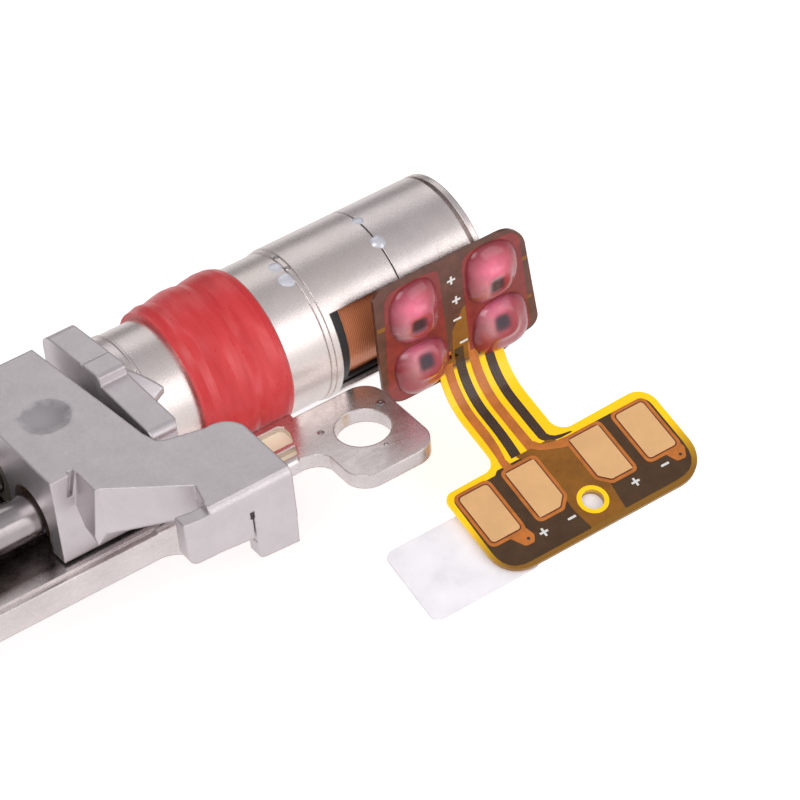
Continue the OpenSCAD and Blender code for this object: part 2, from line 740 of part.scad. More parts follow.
// tab, with concave blends at the neck
module tail_tab() {
  on_tab() translate([0, 0, -film_t]) linear_extrude(film_t) difference() {
    union() {
      tab_plan();
      translate([9.8, -0.38]) square([3.35, 0.8]);
    }
    discs([[9.8, -0.38, 0.5], [13.144, -0.455, 0.5]], 48);
  }
}
module printed_tail() {
  placed() color("darkgoldenrod") difference() {
    union() {
      tail_head();
      tail_neck();
      tail_tab();
    }
    tab_hole();
    for (x = pin_x, z = pin_z)
      towards_tail([x, -2.6, z]) cylinder(r = pin_r + 0.03, h = 1, $fn = 32);
  }
}
module tail_stiffener() {
  placed() color("tan") difference() {
    on_tab() translate([0, 0, -film_t - stiffener_t]) linear_extrude(stiffener_t)
      tab_plan(0.06);
    tab_hole();
  }
}
module contact_pads() {
  placed() color("gold") on_tab() linear_extrude(0.02) {
    for (x = [8.6, 14.5]) round_rect(x, 0.45, x + 1.05, 2.25, 0.12);
    polygon([[10.35, 0.45], [11.4, 0.45], [11.4, 1.9], [11.05, 2.25], [10.35, 2.25]]);
    polygon([[12.75, 0.45], [13.85, 0.45], [13.85, 2.25], [13.1, 2.25], [12.75, 1.9]]);
  }
}
// a flattened dome over each terminal pin
module glue_domes() {
  // [x, z, size factor, x of its pin, z of its pin]
  domes = [[9.66, 1.1, 0.95, pin_x[0], pin_z[1]], [9.68, -0.93, 1.0, pin_x[0], pin_z[0]],
    [12.5, 1.17, 0.97, pin_x[1], pin_z[1]], [12.6, -0.78, 1.02, pin_x[1], pin_z[0]]];
  placed() color("palevioletred") for (dome = domes) difference() {
    translate([dome[0], -head_y, dome[1]]) intersection() {
      translate([0, 0.55, 0]) sphere(r = 1.15 * dome[2]);
      translate([-2, -2, -0.93]) cube([4, 2, 1.86]);
    }
    terminal_pin(dome[3], dome[4]);
  }
}
module release_liner() {
  placed() color("white") on_tab() translate([0, 0, -film_t - stiffener_t - liner_t])
    linear_extrude(liner_t) {
      round_rect(5.66, 0.8, 9.6, 3.5, 0.3);
      round_rect(9.0, 0.5, 15.6, 3.2, 0.3);
    }
}

base_frame();
strip_pad();
gearbox_end_plate();
front_bush();
far_bush();
guide_rod();
carriage();
drive_nut();
slide_bush();
lead_screw();
output_carrier();
planet_out_a();
planet_out_b();
planet_out_c();
stage_carrier();
stage_sun();
planet_in_a();
planet_in_b();
planet_in_c();
rotor_shaft();
input_sun();
rotor_magnet();
gearbox_barrel();
gearbox_rear_cover();
damping_sleeve();
motor_front_plate();
front_bearing();
stator_cup_front();
claw_plate_front();
claw_plate_rear();
stator_cup_rear();
bobbin_front();
bobbin_rear();
coil_front();
coil_rear();
motor_end_cap();
rear_bearing();
thrust_washers();
terminal_pins();
printed_tail();
tail_stiffener();
contact_pads();
glue_domes();
release_liner();
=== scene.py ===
# A miniature motor unit: a sheet steel base with screw, rod and carriage, welded motor cans,
# and a printed film tail glued over four pins.
# X runs along the motor axis and Z is up. The film's head stands on the -Y side, facing -Y;
# its neck bends away below, and the tab slopes outwards (-Y) and down.
# Shapes are drawn in millimetres about the motor axis; ORIGIN carries them to the row frame.
import json
import math

import bpy
import bmesh
from mathutils import Matrix, Vector


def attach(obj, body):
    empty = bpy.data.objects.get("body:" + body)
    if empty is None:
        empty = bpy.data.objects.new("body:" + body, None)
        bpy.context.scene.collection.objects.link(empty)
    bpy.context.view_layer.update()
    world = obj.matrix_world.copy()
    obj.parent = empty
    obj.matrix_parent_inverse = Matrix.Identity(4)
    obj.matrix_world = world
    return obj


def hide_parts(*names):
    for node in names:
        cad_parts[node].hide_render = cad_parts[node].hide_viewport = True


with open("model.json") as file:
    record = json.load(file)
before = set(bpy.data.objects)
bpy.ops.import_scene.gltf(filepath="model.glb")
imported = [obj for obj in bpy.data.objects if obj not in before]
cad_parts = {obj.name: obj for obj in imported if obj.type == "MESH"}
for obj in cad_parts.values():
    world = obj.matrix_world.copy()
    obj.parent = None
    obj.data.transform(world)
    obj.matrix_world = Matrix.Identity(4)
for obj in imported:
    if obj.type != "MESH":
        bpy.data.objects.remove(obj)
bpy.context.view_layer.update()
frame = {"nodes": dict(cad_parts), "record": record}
PIECES = frame["nodes"]
MM = 0.001
ORIGIN = (-6.63, 4.46, 1.15)         # the motor axis in the row frame, mm

# printed film
HEAD_FACE = 3.1                      # distance of the head's outer face from the axis
BEND_TOP = -1.36                     # height at which the neck starts to bend
BEND_RADIUS = 1.71
TILT = math.radians(19.3)            # slope of the tab below the horizontal
BEND_ANGLE = math.pi / 2 - TILT
BEND_LENGTH = BEND_RADIUS * BEND_ANGLE
TAB_START = BEND_LENGTH + 1.64       # distance down the film from BEND_TOP
BEND_STEPS = 16                      # facets of an overlay round the bend

FLOOR_Z = -5.35
FLOOR_HALF = 600


# ---------------------------------------------------------------- shader nodes
def plug(socket, value):
    """Links an input to an output, or sets its value; a colour is given its alpha."""
    if isinstance(value, bpy.types.NodeSocket):
        socket.id_data.links.new(value, socket)
    else:
        socket.default_value = (*value, 1) if socket.type == "RGBA" else value


def feed(node, **inputs):
    """Fills inputs by name, with underscores for spaces."""
    for name, value in inputs.items():
        plug(node.inputs[name.replace("_", " ")], value)


def add(tree, kind, **inputs):
    node = tree.nodes.new("ShaderNode" + kind)
    feed(node, **inputs)
    return node


def new_material(name):
    material = bpy.data.materials.new(name)
    material.use_nodes = True
    tree = material.node_tree
    tree.nodes.clear()
    output = add(tree, "OutputMaterial")
    shader = add(tree, "BsdfPrincipled")
    feed(output, Surface=shader.outputs["BSDF"])
    return material, tree, shader


def coords(tree, stretch=(1, 1, 1)):
    """Object coordinates in millimetres, stretched on each axis."""
    source = add(tree, "TexCoord").outputs["Object"]
    scale = tuple(1000 * s for s in stretch)
    return add(tree, "Mapping", Scale=scale, Vector=source).outputs["Vector"]


def axes(tree, vector):
    """The X, Y and Z outputs of a vector."""
    return tuple(add(tree, "SeparateXYZ", Vector=vector).outputs)


def noise(tree, vector, scale, detail=4, rough=0.55, distortion=0.0):
    return add(tree, "TexNoise", Scale=scale, Detail=detail, Roughness=rough,
               Distortion=distortion, Vector=vector).outputs["Fac"]


def ramp(tree, value, stops):
    """A colour ramp; stops are (position, colour)."""
    node = add(tree, "ValToRGB", Fac=value)
    elements = node.color_ramp.elements
    while len(elements) > 1:
        elements.remove(elements[-1])
    elements[0].position = stops[0][0]
    elements[0].color = (*stops[0][1], 1)
    for position, colour in stops[1:]:
        elements.new(position).color = (*colour, 1)
    return node.outputs["Color"]


def remap(tree, value, span=(0.0, 1.0), to=(0.0, 1.0)):
    """Maps span onto to, held at both ends; span may run downwards."""
    return add(tree, "MapRange", From_Min=span[0], From_Max=span[1],
               To_Min=to[0], To_Max=to[1], Value=value).outputs["Result"]


def mix(tree, factor, a, b, mode="MIX"):
    node = add(tree, "Mix")
    node.data_type = "RGBA"
    node.blend_type = mode
    feed(node, Factor=factor, A=a, B=b)
    return node.outputs["Result"]


def calc(tree, operation, *values):
    node = add(tree, "Math")
    node.operation = operation
    for socket, value in zip(node.inputs, values):
        plug(socket, value)
    return node.outputs["Value"]


def bump(tree, height, depth_mm, strength=1.0, bevel_mm=0.0):
    """A bumped normal, over rounded edges where bevel_mm is given."""
    node = add(tree, "Bump", Strength=strength, Distance=depth_mm * MM, Height=height)
    if bevel_mm:
        bevel = add(tree, "Bevel", Radius=bevel_mm * MM)
        bevel.samples = 6
        feed(node, Normal=bevel.outputs["Normal"])
    return node.outputs["Normal"]


def shade(colour, factor):
    return tuple(min(1, c * factor) for c in colour)


# ---------------------------------------------------------------- materials
def metal(name, base, rough, grain, grain_mm, tone=0.06, blotch=1.2, stretch=(1, 1, 1),
          warm=None, bevel_mm=0.05, metallic=1.0, rough_var=0.1):
    """Fine grain in height and roughness, soft blotches of tone, small rounded edges."""
    material, tree, shader = new_material(name)
    place = coords(tree, stretch)
    broad = noise(tree, place, scale=blotch, rough=0.6)
    colour = ramp(tree, broad, [(0.35, shade(base, 1 - tone)), (0.65, shade(base, 1 + tone))])
    if warm:
        drift = noise(tree, coords(tree), scale=0.35, detail=3, rough=0.5)
        colour = mix(tree, remap(tree, drift, span=(0.4, 0.7)), colour, warm)
    fine = noise(tree, place, scale=grain, detail=5, rough=0.65)
    specks = noise(tree, place, scale=grain * 3.1, detail=3, rough=0.7)
    speck_colour = ramp(tree, specks, [(0.3, shade(base, 0.75)), (0.7, shade(base, 1.2))])
    feed(shader, Metallic=metallic,
         Base_Color=mix(tree, 0.22, colour, speck_colour),
         Roughness=remap(tree, fine, (0.3, 0.7), (rough - rough_var, rough + rough_var)),
         Normal=bump(tree, fine, grain_mm, bevel_mm=bevel_mm))
    return material


def plastic(name, base, rough, grain=20, grain_mm=0.004, spec=0.5, glow=None):
    """Finely grained plastic; glow is the colour of a faint light of its own, painted light from a
    part that is no lamp.
    """
    material, tree, shader = new_material(name)
    place = coords(tree)
    fine = noise(tree, place, scale=grain)
    broad = noise(tree, place, scale=1.1, detail=3)
    feed(shader, Specular_IOR_Level=spec,
         Base_Color=ramp(tree, broad, [(0.3, shade(base, 0.9)), (0.7, shade(base, 1.08))]),
         Roughness=remap(tree, fine, (0.3, 0.7), (rough - 0.07, rough + 0.07)),
         Normal=bump(tree, fine, grain_mm, bevel_mm=0.04))
    # painted light: a faint emission
    if glow:
        feed(shader, Emission_Color=glow, Emission_Strength=0.12)
    return material


def silicone():
    """Semi-gloss red silicone with soft lengthwise streaks: bumps in the surface, and lighter pink
    in colour, which is painted sheen.
    """
    material, tree, shader = new_material("red_silicone")
    place = coords(tree, stretch=(0.55, 1, 1))
    streaks = noise(tree, coords(tree, stretch=(1.6, 0.35, 0.35)), scale=1.3, distortion=0.4)
    fine = noise(tree, place, scale=5, rough=0.6)
    # the lighter pink streak colour is painted sheen
    feed(shader,
         Base_Color=ramp(tree, streaks, [(0.30, (0.62, 0.024, 0.030)),
                                         (0.55, (0.74, 0.050, 0.056)),
                                         (0.75, (0.82, 0.12, 0.135))]),
         Roughness=remap(tree, fine, (0.3, 0.7), (0.26, 0.40)),
         Subsurface_Weight=0.25,
         Subsurface_Radius=(0.6 * MM, 0.12 * MM, 0.1 * MM),
         Subsurface_Scale=1.0,
         Specular_IOR_Level=0.55,
         Normal=bump(tree, streaks, depth_mm=0.03, strength=0.6))
    return material


def copper():
    """Enamelled wire wound round the axis: fine ridges along X, with painted light and shade,
    lighter on each ridge and darker between them.
    """
    material, tree, shader = new_material("copper_wire")
    source = add(tree, "TexCoord").outputs["Object"]
    wave = add(tree, "TexWave", Scale=1000 * 5.0, Distortion=0.15, Detail=2,
               Detail_Scale=0.6, Vector=source)
    wave.wave_type = "BANDS"
    wave.bands_direction = "X"
    ridges = wave.outputs["Fac"]
    # painted light and shade: the colour follows the ridges
    feed(shader,
         Base_Color=ramp(tree, ridges, [(0.0, (0.64, 0.185, 0.080)),
                                        (0.5, (0.80, 0.26, 0.115)),
                                        (1.0, (0.92, 0.36, 0.17))]),
         Metallic=0.35, Roughness=0.38, Coat_Weight=0.4,
         Normal=bump(tree, ridges, depth_mm=0.008, strength=0.7))
    return material


METALS = {
    "moulded_steel": dict(base=(0.66, 0.615, 0.635), rough=0.42, grain=11, grain_mm=0.003,
                          tone=0.05, metallic=0.9, rough_var=0.07, bevel_mm=0.09),
    "sheet_steel": dict(base=(0.72, 0.66, 0.655), rough=0.28, grain=4, grain_mm=0.0006,
                        tone=0.09, stretch=(0.6, 1, 1.2), blotch=0.8, metallic=0.95,
                        bevel_mm=0.07, rough_var=0.08),
    "nickel_shell": dict(base=(0.78, 0.715, 0.705), rough=0.30, grain=20, grain_mm=0.0035,
                         tone=0.07, blotch=1.3, metallic=0.95, warm=(0.78, 0.71, 0.67),
                         rough_var=0.06),
    "polished_steel": dict(base=(0.42, 0.385, 0.39), rough=0.17, grain=9, grain_mm=0.001,
                           tone=0.03, stretch=(4, 1, 1), rough_var=0.05, bevel_mm=0.03),
    "bronze": dict(base=(0.55, 0.38, 0.20), rough=0.38, grain=16, grain_mm=0.006),
    "gear_metal": dict(base=(0.70, 0.56, 0.32), rough=0.30, grain=12, grain_mm=0.003,
                       bevel_mm=0.015),
    "pin_metal": dict(base=(0.22, 0.16, 0.13), rough=0.30, grain=18, grain_mm=0.004,
                      bevel_mm=0.03),
    "pad_gold": dict(base=(0.86, 0.51, 0.225), rough=0.5, grain=12, grain_mm=0.003,
                     metallic=0.0, bevel_mm=0.02),
}
PLASTICS = {
    "nut_plastic": dict(base=(0.115, 0.105, 0.088), rough=0.5),
    "magnet": dict(base=(0.035, 0.035, 0.04), rough=0.5),
    "black_plastic": dict(base=(0.012, 0.011, 0.011), rough=0.38, grain=16),
    "washer_plastic": dict(base=(0.72, 0.70, 0.64), rough=0.5),
    "stiffener": dict(base=(0.42, 0.25, 0.07), rough=0.4),
    # the liner and the cream pad glow with painted light
    "liner": dict(base=(0.90, 0.885, 0.925), rough=0.6, grain=9, grain_mm=0.002, spec=0.25,
                  glow=(0.95, 0.94, 0.98)),
    "pad_cream": dict(base=(0.95, 0.80, 0.60), rough=0.55, grain=9, grain_mm=0.003,
                      glow=(0.95, 0.80, 0.58)),
}

LOOKS = {name: metal(name, **options) for name, options in METALS.items()}
LOOKS.update({name: plastic(name, **options) for name, options in PLASTICS.items()})
LOOKS["red_silicone"] = silicone()
LOOKS["copper_wire"] = copper()


def dress(piece, material):
    piece.data.materials.clear()
    piece.data.materials.append(material)


SLOTS = {part["node"]: part["material_slot"] for part in frame["record"]["subparts"]}
for piece_name, piece in PIECES.items():
    if SLOTS[piece_name] in LOOKS:
        dress(piece, LOOKS[SLOTS[piece_name]])


# ---------------------------------------------------------------- painted shade
def darken(piece, source, name, colour, mask):
    """Gives a piece a copy of a metal that turns to a dark colour where the mask is high: painted
    shade.
    """
    material = LOOKS[source].copy()
    material.name = name
    tree = material.node_tree
    shader = next(n for n in tree.nodes if n.type == "BSDF_PRINCIPLED")
    amount = mask(tree)
    unshaded = shader.inputs["Base Color"].links[0].from_socket
    feed(shader, Base_Color=mix(tree, amount, unshaded, colour))
    dress(piece, material)


def tray_mask(tree):
    """Painted shade on the upward faces of the base's tray, under the screw and rod; row frame,
    mm.
    """
    x, y, z = axes(tree, coords(tree))
    normal = add(tree, "NewGeometry").outputs["True Normal"]
    facing = remap(tree, axes(tree, normal)[2], span=(0.3, 0.8))
    plan = calc(tree, "MULTIPLY", remap(tree, x, span=(-6.1, -7.1)),
                remap(tree, y, span=(0.35, 0.75)))
    low = calc(tree, "MULTIPLY", facing, remap(tree, z, span=(0.60, 0.40)))
    area_mask = calc(tree, "MULTIPLY", plan, low)
    # noise breaks up the painted shade
    shade_mottle = noise(tree, coords(tree), scale=0.9, rough=0.6)
    return calc(tree, "MULTIPLY", area_mask, remap(tree, shade_mottle, (0.35, 0.6), (0.75, 1.0)))


def dish_mask(tree):
    """Painted shade: a disc with a ragged edge over the dish in the carriage's top; row frame, mm.
    """
    x, y, _ = axes(tree, coords(tree))
    dx = calc(tree, "SUBTRACT", x, -8.56)
    dy = calc(tree, "SUBTRACT", y, 3.18)
    squares = calc(tree, "ADD", calc(tree, "MULTIPLY", dx, dx), calc(tree, "MULTIPLY", dy, dy))
    distance = calc(tree, "SQRT", squares)
    ragged = noise(tree, coords(tree), scale=2.4, rough=0.6)
    distance = calc(tree, "ADD", distance, remap(tree, ragged, (0.3, 0.7), (-0.16, 0.16)))
    strength = 0.52
    return calc(tree, "MULTIPLY", remap(tree, distance, span=(0.84, 0.56)), strength)


# painted shade: the tray's floor under the screw, rod and carriage turns dark brown
darken(PIECES["base_frame"], "sheet_steel", "sheet_steel_base_painted_shade",
       colour=(0.085, 0.068, 0.060), mask=tray_mask)
# painted shade in the dish in the carriage's top
darken(PIECES["carriage"], "moulded_steel", "moulded_steel_dish_painted_shade",
       colour=(0.27, 0.265, 0.28), mask=dish_mask)


# ---------------------------------------------------------------- mesh helpers
def mesh_object(name, verts, faces, material, smooth=True, tint=None):
    """A mesh drawn about the motor axis in mm, riding on the base; tint is a colour per vertex."""
    mesh = bpy.data.meshes.new(name)
    mesh.from_pydata([tuple((c + o) * MM for c, o in zip(v, ORIGIN)) for v in verts], [], faces)
    mesh.validate()
    mesh.update()
    for polygon in mesh.polygons:
        polygon.use_smooth = smooth
    if tint:
        attribute = mesh.attributes.new("tint", "FLOAT_COLOR", "POINT")
        for i, colour in enumerate(tint):
            attribute.data[i].color = (*colour, 1)
    made = bpy.data.objects.new(name, mesh)
    bpy.context.scene.collection.objects.link(made)
    mesh.materials.append(material)
    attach(made, "base")
    return made


def ring_faces(rings, sides, flip=False):
    """Quads between successive closed rings of vertices."""
    faces = []
    for i in range(rings):
        for j in range(sides):
            k = (j + 1) % sides
            a, b = i * sides + j, (i + 1) * sides + j
            c, d = (i + 1) * sides + k, i * sides + k
            faces.append((a, d, c, b) if flip else (a, b, c, d))
    return faces


def rounded(corners, radius):
    """Rounds a polygon's corners; radius is one value or one per corner."""
    steps = 6
    outline = []
    count = len(corners)
    radii = radius if isinstance(radius, list) else [radius] * count
    for i in range(count):
        corner = Vector(corners[i])
        before = Vector(corners[i - 1]) - corner
        after = Vector(corners[(i + 1) % count]) - corner
        # the cut stays inside half of either side
        cut = min(radii[i] / math.tan(before.angle(after) / 2),
                  before.length * 0.48, after.length * 0.48)
        start = corner + before.normalized() * cut
        end = corner + after.normalized() * cut
        for k in range(steps + 1):
            u = k / steps
            outline.append(tuple(start * (1 - u) ** 2 + corner * 2 * u * (1 - u) + end * u ** 2))
    return outline


def grown(corners, gap):
    """Moves every side of a convex polygon outwards by gap."""
    count = len(corners)
    centre = Vector((sum(p[0] for p in corners) / count, sum(p[1] for p in corners) / count))
    moved = []
    for i in range(count):
        corner = Vector(corners[i])
        before = (corner - Vector(corners[i - 1])).normalized()
        after = (Vector(corners[(i + 1) % count]) - corner).normalized()
        normal_a, normal_b = Vector((before.y, -before.x)), Vector((after.y, -after.x))
        shift = (normal_a + normal_b) * (gap / (1 + normal_a.dot(normal_b)))
        point = corner + shift
        if (point - centre).length < (corner - centre).length:
            point = corner - shift
        moved.append(tuple(point))
    return moved


def disc(x, y, radius, sides=28, turn=1):
    """A circle of points; turn=-1 runs it the other way round."""
    angles = [turn * 2 * math.pi * i / sides for i in range(sides)]
    return [(x + radius * math.cos(a), y + radius * math.sin(a)) for a in angles]


# ---------------------------------------------------------------- printed film
def on_film(x, down, lift=0.0):
    """A point on the film's outer face, down the film from BEND_TOP, lifted off it by lift."""
    if down <= 0:
        return (x, -(HEAD_FACE + lift), BEND_TOP - down)
    if down <= BEND_LENGTH:
        angle = down / BEND_RADIUS
        radius = BEND_RADIUS - lift
        return (x, -(HEAD_FACE + BEND_RADIUS - radius * math.cos(angle)),
                BEND_TOP - radius * math.sin(angle))
    past = down - BEND_LENGTH
    out = (HEAD_FACE + BEND_RADIUS - BEND_RADIUS * math.cos(BEND_ANGLE)
           + past * math.sin(BEND_ANGLE))
    z = BEND_TOP - BEND_RADIUS * math.sin(BEND_ANGLE) - past * math.cos(BEND_ANGLE)
    return (x, -(out + lift * math.sin(TILT)), z + lift * math.cos(TILT))


def on_tab(points):
    """(x, distance from the tab's start) to film coordinates."""
    return [(x, TAB_START + along) for x, along in points]


def on_head(points):
    """(x, z) to film coordinates."""
    return [(x, BEND_TOP - z) for x, z in points]


def sheet(name, outline, lift, look, holes=()):
    """A thin overlay on the film; outline and holes are in film coordinates."""
    bm = bmesh.new()
    edges = []
    for loop in [outline, *holes]:
        verts = [bm.verts.new((x, down, 0)) for x, down in loop]
        edges += [bm.edges.new((verts[i], verts[(i + 1) % len(verts)]))
                  for i in range(len(verts))]
    bmesh.ops.triangle_fill(bm, use_beauty=True, edges=edges)
    # cut lines across the bend, so that the overlay follows it
    low, high = min(p[1] for p in outline), max(p[1] for p in outline)
    for k in range(BEND_STEPS + 1):
        cut = BEND_LENGTH * k / BEND_STEPS
        if low < cut < high:
            bmesh.ops.bisect_plane(bm, geom=bm.verts[:] + bm.edges[:] + bm.faces[:],
                                   plane_co=(0, cut, 0), plane_no=(0, 1, 0))
    bm.verts.index_update()
    points = [on_film(v.co.x, v.co.y, lift) for v in bm.verts]
    faces = []
    for face in bm.faces:
        order = [v.index for v in face.verts]
        a, b, c = (Vector(points[i]) for i in order[:3])
        # every face looks outwards and up
        if (b - a).cross(c - a).dot(Vector((0, -1, 0.8))) < 0:
            order.reverse()
        faces.append(tuple(order))
    bm.free()
    mesh_object(name, points, faces, LOOKS[look], smooth=False)


def film_look(name, base, rough, coat, var, scale=2.2, glow=0.0):
    """Glossy film with faint waviness and blotches; glow is painted light, an emission standing in
    for light coming through it.
    """
    material, tree, shader = new_material(name)
    broad = noise(tree, coords(tree), scale=scale, rough=0.6)
    fine = noise(tree, coords(tree), scale=22, detail=3, rough=0.6)
    colour = ramp(tree, broad, [(0.35, shade(base, 1 - var)), (0.65, shade(base, 1 + var))])
    feed(shader, Base_Color=colour,
         Roughness=remap(tree, fine, (0.3, 0.7), (rough - 0.05, rough + 0.08)),
         Coat_Weight=coat, Coat_Roughness=0.12, Specular_IOR_Level=0.35,
         Normal=bump(tree, broad, depth_mm=0.02, strength=0.5))
    # painted light
    if glow:
        feed(shader, Emission_Color=colour, Emission_Strength=glow)
    return material


YELLOW = (0.95, 0.56, 0.002)
# painted light: the yellow film's glow stands in for light coming through it
YELLOW_GLOW = 0.35
# glow: painted light on film_yellow, film_orange and film_mid
FILMS = {
    "film_yellow": dict(base=YELLOW, rough=0.28, coat=0.3, var=0.04, glow=YELLOW_GLOW),
    "film_amber": dict(base=(0.34, 0.165, 0.012), rough=0.25, coat=0.4, var=0.10),
    "film_orange": dict(base=(0.56, 0.175, 0.030), rough=0.28, coat=0.2, var=0.14, glow=0.06),
    "film_brown": dict(base=(0.080, 0.040, 0.016), rough=0.30, coat=0.1, var=0.15),
    "film_mid": dict(base=(0.27, 0.105, 0.010), rough=0.30, coat=0.1, var=0.15, glow=0.05),
    "film_dark": dict(base=(0.064, 0.036, 0.022), rough=0.24, coat=0.2, var=0.2),
    "film_head": dict(base=(0.105, 0.050, 0.032), rough=0.16, coat=0.7, var=0.2),
    "film_ring": dict(base=(0.17, 0.030, 0.008), rough=0.25, coat=0.4, var=0.1),
    "glue_film": dict(base=(0.27, 0.030, 0.026), rough=0.16, coat=0.35, var=0.2),
    "white_ink": dict(base=(0.82, 0.82, 0.80), rough=0.5, coat=0.0, var=0.04, scale=8),
}
LOOKS.update({name: film_look(name, **options) for name, options in FILMS.items()})


def film_base_look():
    """Brown on the head, yellow on the neck, and fading to amber along the tab; the yellow carries
    painted light, a glow that fades out along the tab.
    """
    head_y = (-3.16, -3.12)          # the yellow turns to brown between these
    fade_from, fade_length = 1.3, 1.9    # the tab's fade, from the tab's start
    material, tree, shader = new_material("film_base")
    _, y, z = axes(tree, coords(tree))
    head = remap(tree, y, span=tuple(edge + ORIGIN[1] for edge in head_y))
    broad = noise(tree, coords(tree), scale=2.2, rough=0.6)
    # distance down the tab's slope from where the fade starts
    _, start_y, start_z = on_film(0, TAB_START + fade_from)
    start = (-(start_y + ORIGIN[1]) * math.cos(TILT)
             - (start_z + ORIGIN[2]) * math.sin(TILT))
    slope = calc(tree, "ADD", calc(tree, "MULTIPLY", y, -math.cos(TILT)),
                 calc(tree, "MULTIPLY", z, -math.sin(TILT)))
    fade = remap(tree, calc(tree, "SUBTRACT", slope, start), span=(0.0, fade_length))
    tail = mix(tree, fade, YELLOW, (0.30, 0.135, 0.012))
    brown = ramp(tree, broad, [(0.35, (0.105, 0.040, 0.026)), (0.65, (0.165, 0.060, 0.040))])
    # painted light: the yellow neck and tab glow, fading out along the tab
    feed(shader, Base_Color=mix(tree, head, tail, brown),
         Specular_IOR_Level=0.35, Roughness=0.22, Coat_Weight=0.2, Coat_Roughness=0.1,
         Emission_Color=mix(tree, head, tail, (0.0, 0.0, 0.0)),
         Emission_Strength=remap(tree, fade, to=(YELLOW_GLOW, 0.0)),
         Normal=bump(tree, broad, depth_mm=0.03, strength=0.5))
    return material


dress(PIECES["printed_tail"], film_base_look())

# Neck traces: left and right edge on the head, left and right edge at the lower end,
# end measured from the tab's start, look
NECK_TRACES = [
    (10.49, 10.80, 10.42, 10.62, 0.16, "film_orange"),
    (10.92, 11.25, 10.83, 11.18, 0.10, "film_dark"),
    (11.42, 11.75, 11.42, 11.78, 0.16, "film_orange"),
    (11.97, 12.30, 11.98, 12.30, -0.06, "film_dark"),
]


def trace_edge(x_top, x_end, end, fractions):
    """One edge of a neck trace: straight, then easing sideways over its last 0.3."""
    top = -0.30
    points = []
    for u in fractions:
        ease = max(0.0, (u - 0.7) / 0.3) ** 2
        points.append((x_top + (x_end - x_top) * ease, top + (end - top) * u))
    return points


def neck_traces():
    down = [i / 14 for i in range(15)]
    up = [1 - u for u in down]
    for number, (left, right, left_end, right_end, past, look) in enumerate(NECK_TRACES, 1):
        end = TAB_START + past
        sheet("neck_trace_%d" % number,
              trace_edge(left, left_end, end, down) + trace_edge(right, right_end, end, up),
              lift=0.003, look=look)


neck_traces()

HOLE = (12.12, 2.54)                 # the tab's hole: x, distance from the tab's start
HOLE_RADIUS = 0.35

# Flat shapes: name, lift, look, corner radii, corners.
# Tab corners are (x, distance from the tab's start); head corners are (x, z).
TAB_AREAS = [
    ("tab_dark_left", 0.004, "film_brown", [0.25, 0.05, 0.1, 0.1, 0.1, 0.2, 0.05, 0.85],
     [(8.42, 0.36), (10.05, 0.34), (10.2, 0.22), (11.25, 0.22),
      (11.5, 1.5), (11.42, 2.55), (11.5, 3.34), (8.36, 3.34)]),
    ("tab_mid", 0.006, "film_mid", [0.05, 0.2, 0.1, 0.1, 0.05, 0.05, 0.2, 0.2, 0.1],
     [(10.95, 0.10), (12.20, 0.10), (12.72, 0.45), (12.95, 2.2), (12.8, 3.30),
      (11.50, 3.30), (11.38, 2.5), (11.48, 1.3), (11.2, 0.4)]),
    ("tab_dark_right", 0.005, "film_brown", [0.1, 0.42, 1.02, 0.05, 0.1, 0.1],
     [(12.95, 0.30), (15.77, 0.30), (15.77, 3.30), (12.8, 3.30), (12.92, 2.2), (12.72, 0.5)]),
]
# Copper tails beside the outer pads, and leads from the neck to the inner pads;
# lead_c swings the outermost dark trace round to the right
TAB_LEADS = [
    ("tail_a", 0.008, "film_orange", 0.12,
     [(9.05, 2.25), (9.75, 2.25), (9.86, 2.62), (9.72, 2.86), (9.40, 2.84), (9.20, 2.5)]),
    ("tail_b", 0.008, "film_orange", 0.12,
     [(14.95, 2.25), (15.62, 2.05), (15.70, 2.45), (15.52, 2.78), (15.20, 2.76),
      (15.05, 2.45)]),
    ("lead_a", 0.0085, "film_orange", 0.05,
     [(10.42, -0.05), (10.64, -0.05), (10.72, 0.40), (10.40, 0.40)]),
    ("lead_b", 0.0085, "film_orange", 0.05,
     [(11.44, -0.08), (11.79, -0.08), (11.88, 0.05), (12.02, 0.16), (12.30, 0.25),
      (12.80, 0.30), (12.80, 0.66), (12.40, 0.56), (12.05, 0.42), (11.78, 0.30),
      (11.55, 0.10)]),
    ("lead_c", 0.0045, "film_dark", 0.03,
     [(11.98, -0.10), (12.30, -0.10), (12.36, 0.00), (12.48, 0.09), (12.70, 0.15),
      (13.02, 0.20), (13.02, 0.25), (12.60, 0.25), (12.32, 0.21), (12.12, 0.12),
      (12.02, 0.01)]),
]
# Copper under the head's outer layer
HEAD_COPPER = [
    ("head_copper_1", 0.002, "film_mid", 0.15,
     [(10.9, -0.35), (11.35, 0.35), (11.75, 0.55), (11.75, 0.25), (11.5, -0.2),
      (11.75, -0.75), (12.0, -1.3), (12.0, -1.62), (11.3, -1.62), (10.85, -1.3)]),
    ("head_copper_2", 0.003, "film_mid", 0.12,
     [(10.35, -1.15), (10.9, -1.2), (11.35, -1.62), (10.35, -1.62)]),
    ("head_stub_1", 0.003, "film_mid", 0.02,
     [(8.27, 0.93), (8.8, 0.88), (8.8, 1.04), (8.27, 1.09)]),
    ("head_stub_2", 0.003, "film_mid", 0.02,
     [(13.3, 0.98), (13.79, 0.955), (13.77, 1.10), (13.3, 1.12)]),
    ("head_stub_3", 0.003, "film_mid", 0.02,
     [(13.3, -0.52), (13.88, -0.55), (13.88, -0.42), (13.3, -0.38)]),
]
